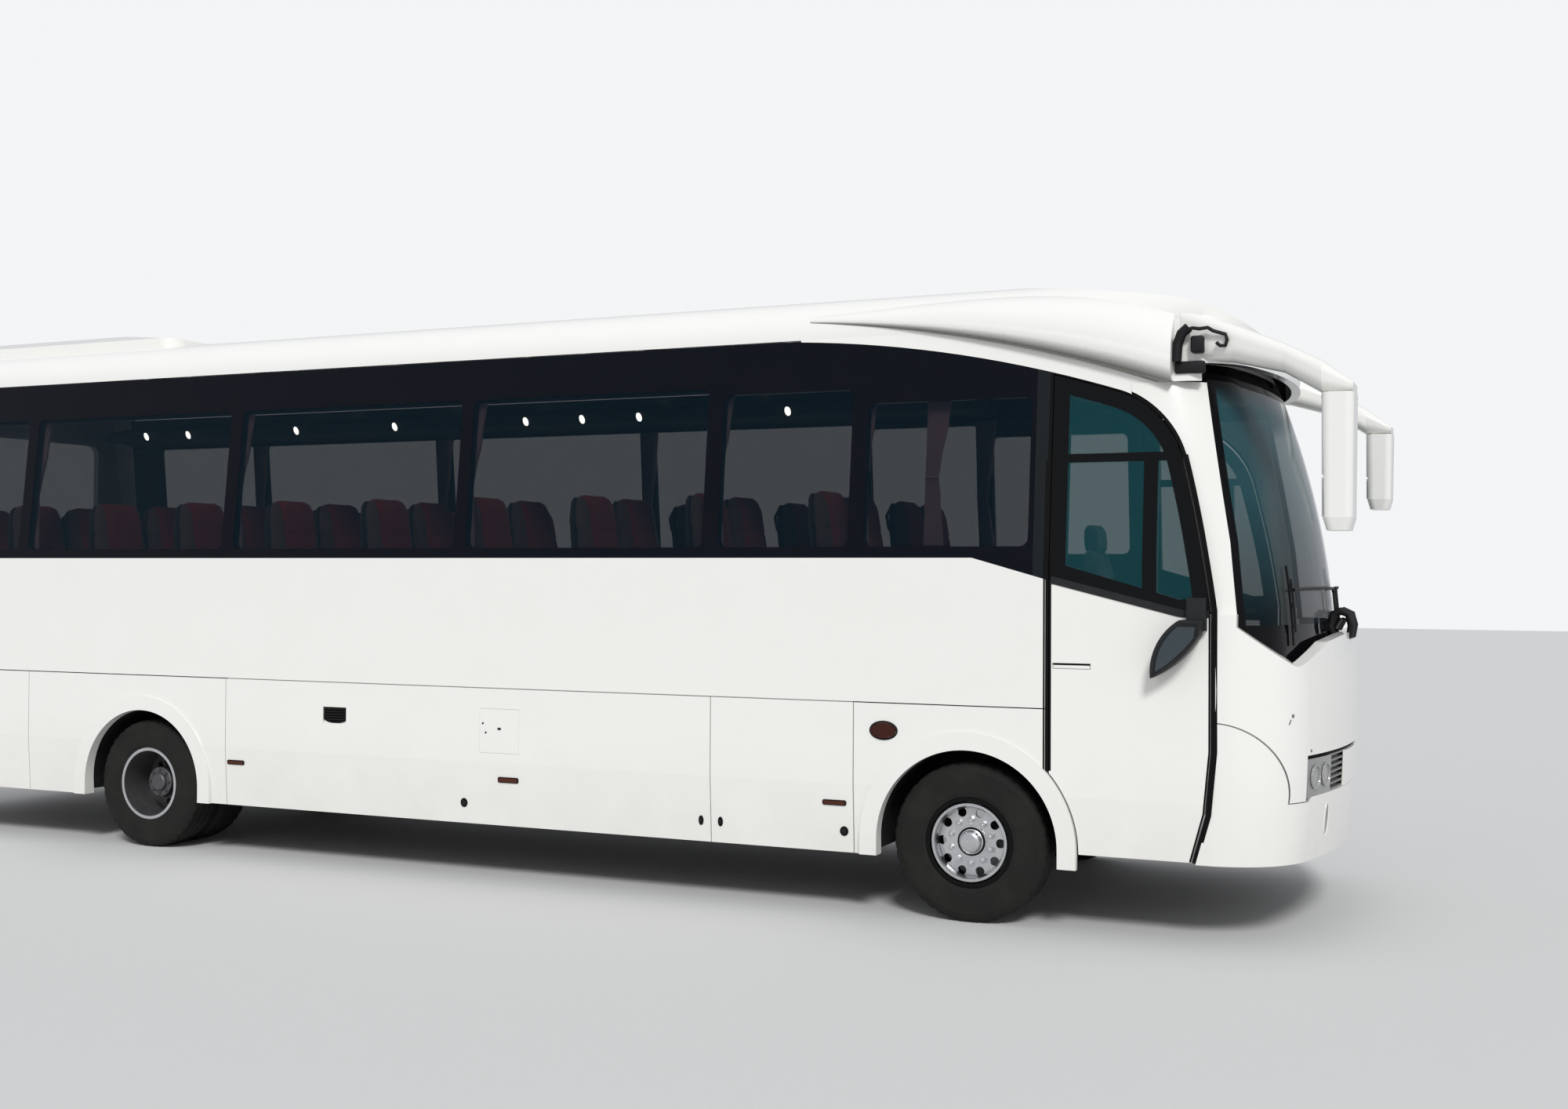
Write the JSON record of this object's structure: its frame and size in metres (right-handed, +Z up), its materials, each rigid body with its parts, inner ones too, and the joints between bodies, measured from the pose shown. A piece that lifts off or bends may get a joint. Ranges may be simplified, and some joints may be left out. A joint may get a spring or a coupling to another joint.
{
  "type": "intermediate touring coach",
  "caption": "White touring coach with opening driver's door, luggage doors and engine lid, steered front wheels, turning wheels, hanging front mirrors, furnished saloon.",
  "frame": {"origin": "on the road under the middle of the overall length, which runs from the rear wall to the mirror fronts, on the centre plane", "axes": "+X forward, +Y to the coach's left, +Z up"},
  "size_m": [10.4, 2.72, 3.5049],
  "materials": {
    "black_band": "gloss",
    "white_body": "gloss",
    "tinted_glass": "gloss",
    "dark_grille": "satin",
    "clear_lamp": "gloss",
    "red_lamp": "gloss",
    "amber_lamp": "gloss",
    "frame_steel": "satin",
    "underbody": "satin",
    "engine_block": "matte",
    "seat_cloth": "matte",
    "rack_plastic": "matte",
    "curtain_cloth": "matte",
    "dark_plastic": "matte",
    "wheel_metal": "satin",
    "tyre_rubber": "matte"
  },
  "bodies": {
    "coach": {"window_frames": "black_band", "body_glass": "tinted_glass", "side_panels": "white_body", "lower_panels": "white_body", "roof": "white_body", "front_dome": "white_body", "front_mask": "white_body", "front_bumper": "white_body", "grille": "dark_grille", "headlamps": "clear_lamp", "windscreen": "tinted_glass", "rear_wall": "white_body", "rear_bumper": "white_body", "tail_lamps": "red_lamp", "passenger_door": "white_body", "roof_pod": "white_body", "roof_hatches": "white_body", "mirrors": "white_body", "chassis_rails": "frame_steel", "cross_members": "frame_steel", "luggage_bay": "underbody", "saloon_floor": "underbody", "cab_floor": "underbody", "entrance_steps": "underbody", "wheel_houses": "underbody", "engine": "engine_block", "front_axle": "frame_steel", "rear_axle": "frame_steel", "seats": "seat_cloth", "driver_seat": "seat_cloth", "luggage_racks": "rack_plastic", "curtains": "curtain_cloth", "dashboard": "dark_plastic", "side_lamps": "amber_lamp"},
    "engine_lid": {"engine_lid": "white_body"},
    "driver_door": {"driver_door": "white_body", "driver_door_glass": "tinted_glass", "kerb_mirror": "white_body"},
    "luggage_door_right_rear": {"luggage_door_right_rear": "white_body"},
    "luggage_door_right_front": {"luggage_door_right_front": "white_body"},
    "luggage_door_left_rear": {"luggage_door_left_rear": "white_body"},
    "luggage_door_left_front": {"luggage_door_left_front": "white_body"},
    "knuckle_right": {"knuckle_right": "frame_steel"},
    "knuckle_left": {"knuckle_left": "frame_steel"},
    "front_wheel_right": {"wheel_front_right": "wheel_metal", "tyre_front_right": "tyre_rubber"},
    "front_wheel_left": {"wheel_front_left": "wheel_metal", "tyre_front_left": "tyre_rubber"},
    "rear_wheels_right": {"wheels_rear_right": "wheel_metal", "tyres_rear_right": "tyre_rubber"},
    "rear_wheels_left": {"wheels_rear_left": "wheel_metal", "tyres_rear_left": "tyre_rubber"},
    "steering_wheel": {"steering_wheel": "dark_plastic"}
  },
  "joints": [
    {"name": "steering_right", "type": "hinge", "parent": "coach", "child": "knuckle_right", "pos_m": [3.26, -0.975, 0.421], "axis": [0, 0, 1], "range_deg": [-38, 38]},
    {"name": "steering_left", "type": "hinge", "parent": "coach", "child": "knuckle_left", "pos_m": [3.26, 0.975, 0.421], "axis": [0, 0, 1], "range_deg": [-38, 38]},
    {"name": "front_wheel_right_spin", "type": "hinge", "parent": "knuckle_right", "child": "front_wheel_right", "pos_m": [3.26, -1.07, 0.421], "axis": [0, 1, 0], "continuous": true},
    {"name": "front_wheel_left_spin", "type": "hinge", "parent": "knuckle_left", "child": "front_wheel_left", "pos_m": [3.26, 1.07, 0.421], "axis": [0, 1, 0], "continuous": true},
    {"name": "rear_wheels_right_spin", "type": "hinge", "parent": "coach", "child": "rear_wheels_right", "pos_m": [-2.44, -1.07, 0.421], "axis": [0, 1, 0], "continuous": true},
    {"name": "rear_wheels_left_spin", "type": "hinge", "parent": "coach", "child": "rear_wheels_left", "pos_m": [-2.44, 1.07, 0.421], "axis": [0, 1, 0], "continuous": true},
    {"name": "steering_wheel_turn", "type": "hinge", "parent": "coach", "child": "steering_wheel", "pos_m": [4.435, -0.62, 1.56], "axis": [-0.3536, 0, 0.9354], "range_deg": [-600, 600]},
    {"name": "driver_door_hinge", "type": "hinge", "parent": "coach", "child": "driver_door", "pos_m": [4.52, -1.25, 1.4], "axis": [0, 0, 1], "range_deg": [0, 70]},
    {"name": "engine_lid_hinge", "type": "hinge", "parent": "coach", "child": "engine_lid", "pos_m": [-5.2, 0, 1.64], "axis": [0, 1, 0], "range_deg": [0, 75]},
    {"name": "luggage_door_right_rear_hinge", "type": "hinge", "parent": "coach", "child": "luggage_door_right_rear", "pos_m": [0.025, -1.25, 1.142], "axis": [-1, 0, 0], "range_deg": [0, 85]},
    {"name": "luggage_door_right_front_hinge", "type": "hinge", "parent": "coach", "child": "luggage_door_right_front", "pos_m": [2.2, -1.25, 1.142], "axis": [-1, 0, 0], "range_deg": [0, 85]},
    {"name": "luggage_door_left_rear_hinge", "type": "hinge", "parent": "coach", "child": "luggage_door_left_rear", "pos_m": [0.025, 1.25, 1.142], "axis": [1, 0, 0], "range_deg": [0, 85]},
    {"name": "luggage_door_left_front_hinge", "type": "hinge", "parent": "coach", "child": "luggage_door_left_front", "pos_m": [2.2, 1.25, 1.142], "axis": [1, 0, 0], "range_deg": [0, 85]}
  ],
  "couplings": [
    {"joint": "steering_left", "follows": "steering_right", "ratio": 1},
    {"joint": "steering_wheel_turn", "follows": "steering_right", "ratio": 15}
  ]
}
